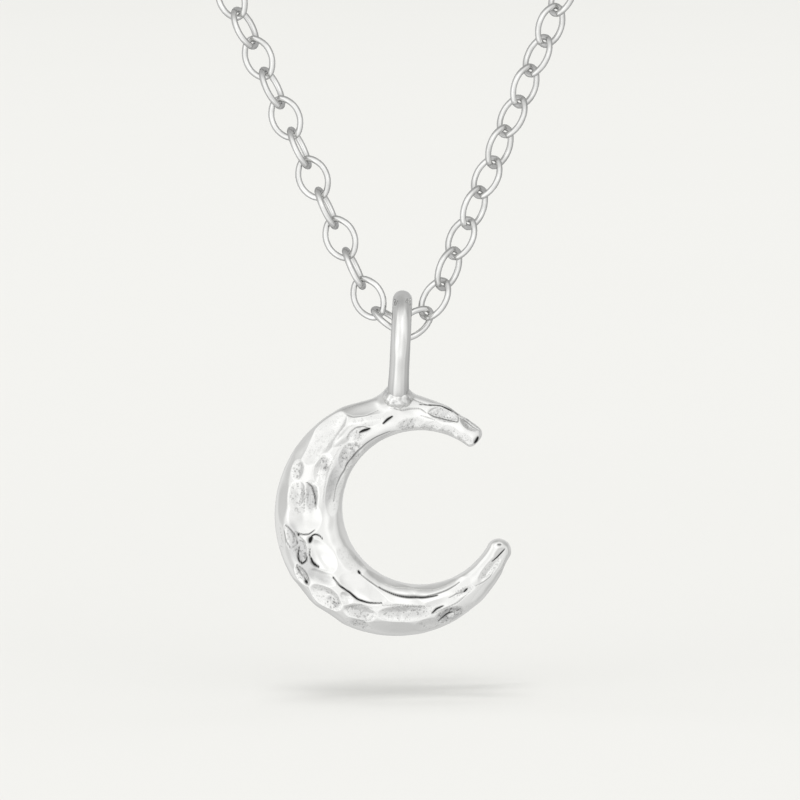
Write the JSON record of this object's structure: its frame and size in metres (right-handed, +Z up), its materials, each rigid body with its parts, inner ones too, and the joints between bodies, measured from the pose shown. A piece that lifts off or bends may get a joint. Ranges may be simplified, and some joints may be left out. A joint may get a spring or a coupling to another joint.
{
  "type": "moon necklace",
  "caption": "Fine cable chain necklace with a hammered silver crescent moon charm hanging free from a soldered wire bail.",
  "frame": {"origin": "middle of the closing between the two last links, where the chain rests on the nape", "axes": "+Z up as worn, -Y to the wearer's front, +X to the right as seen from the front"},
  "size_m": [0.1093, 0.094, 0.1635],
  "materials": {
    "hammered_silver": "hammered and polished silver",
    "polished_silver": "polished silver wire"
  },
  "bodies": {
    "chain": {"chain_left": "polished_silver", "chain_right": "polished_silver", "clasp": "polished_silver", "end_ring": "polished_silver"},
    "pendant": {"pendant": "hammered_silver"}
  },
  "joints": [
    {"name": "pendant_swing", "type": "hinge", "parent": "chain", "child": "pendant", "pos_m": [0.00092, -0.08859, -0.14358], "axis": [0.9981, 0, -0.061], "range_deg": [-75, 75]}
  ]
}
